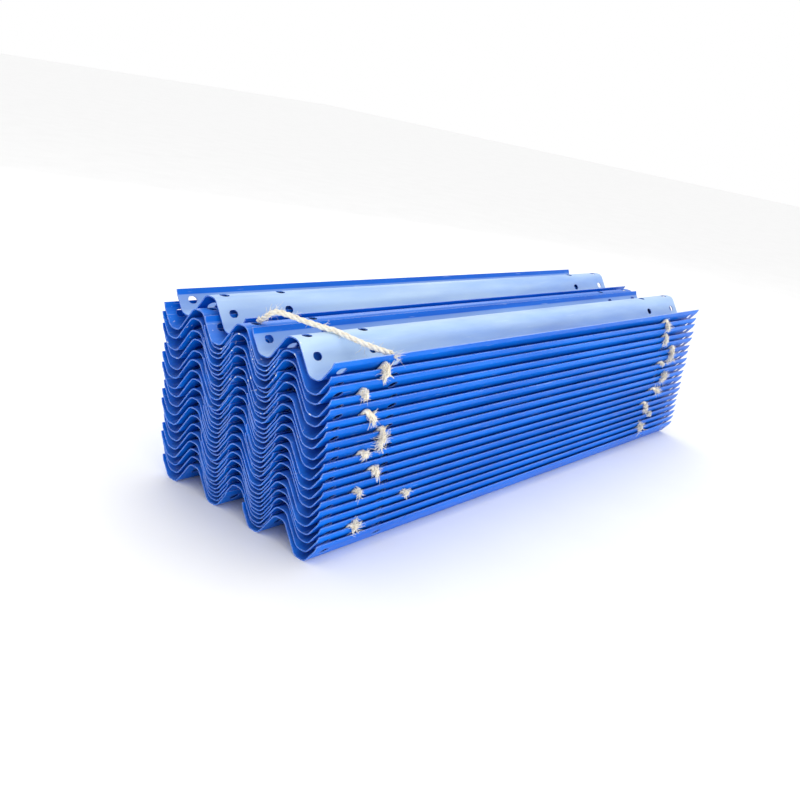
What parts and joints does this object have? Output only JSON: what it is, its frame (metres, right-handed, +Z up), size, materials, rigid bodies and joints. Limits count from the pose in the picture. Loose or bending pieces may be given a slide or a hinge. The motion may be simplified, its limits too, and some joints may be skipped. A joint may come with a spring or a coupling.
{
  "type": "bundle of guardrail rails",
  "caption": "Stacked bundle of blue wave-section highway guardrail rails with splice slots, nested and spaced by straw rope pieces, with a loose rope lying on top.",
  "frame": {"origin": "middle of the bundle's footprint, on the level that its lowest troughs rest on", "axes": "+X along the rails, from the loose rope's end to the other, +Y from the near side to the far side, +Z up"},
  "size_m": [2.3846, 0.7046, 0.6491],
  "materials": {
    "blue_paint": "glossy powder coat",
    "straw_rope": "rough twisted fibre"
  },
  "bodies": {
    "root": {"rail_pair_01": "blue_paint", "rail_pair_02": "blue_paint", "rail_pair_03": "blue_paint", "rail_pair_04": "blue_paint", "rail_pair_05": "blue_paint", "rail_pair_06": "blue_paint", "rail_pair_07": "blue_paint", "rail_pair_08": "blue_paint", "rail_pair_09": "blue_paint", "rail_pair_10": "blue_paint", "rail_pair_11": "blue_paint", "rail_pair_12": "blue_paint", "rail_pair_13": "blue_paint", "rail_pair_14": "blue_paint", "rail_pair_15": "blue_paint", "rail_pair_16": "blue_paint", "rail_pair_17": "blue_paint", "rail_pair_18": "blue_paint", "rail_pair_19": "blue_paint", "middle_rail_01": "blue_paint", "middle_rail_02": "blue_paint", "middle_rail_03": "blue_paint", "middle_rail_04": "blue_paint", "middle_rail_05": "blue_paint", "middle_rail_06": "blue_paint", "middle_rail_07": "blue_paint", "middle_rail_08": "blue_paint", "middle_rail_09": "blue_paint", "middle_rail_10": "blue_paint", "middle_rail_11": "blue_paint", "middle_rail_12": "blue_paint", "middle_rail_13": "blue_paint", "middle_rail_14": "blue_paint", "middle_rail_15": "blue_paint", "middle_rail_16": "blue_paint", "middle_rail_17": "blue_paint", "middle_rail_18": "blue_paint", "near_left_ropes": "straw_rope", "near_right_ropes": "straw_rope", "far_left_ropes": "straw_rope", "far_right_ropes": "straw_rope", "loose_rope": "straw_rope"}
  },
  "joints": []
}
